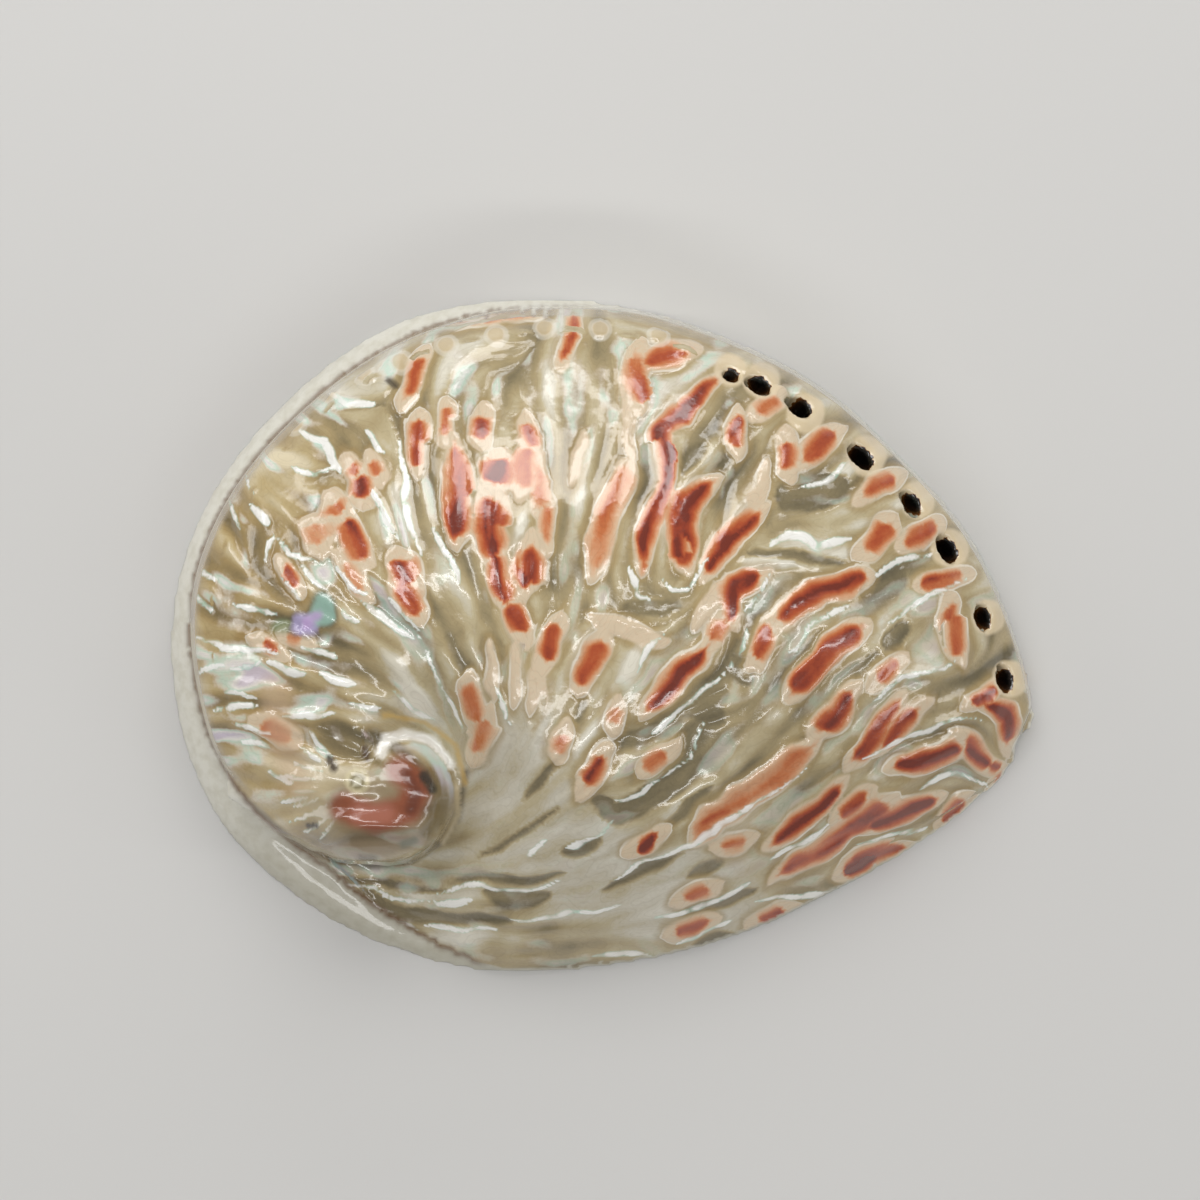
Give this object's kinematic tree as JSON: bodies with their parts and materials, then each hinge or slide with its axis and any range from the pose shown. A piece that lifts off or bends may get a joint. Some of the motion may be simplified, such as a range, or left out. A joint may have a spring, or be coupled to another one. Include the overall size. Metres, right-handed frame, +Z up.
{
  "type": "abalone shell",
  "caption": "Polished abalone shell with a low coiled spire, a row of open breathing pores along its shoulder and a wide mouth, lying mouth-down on its rim.",
  "frame": {"origin": "middle of the outline seen from above, on the plane that the rim rests on", "axes": "+X to the growing tip, +Y to the side with the row of pores, +Z up out of the shell's back"},
  "size_m": [0.1602, 0.1251, 0.0448],
  "materials": {
    "nacre": "polished mother-of-pearl with rust-red flames"
  },
  "bodies": {
    "root": {"shell": "nacre"}
  },
  "joints": []
}
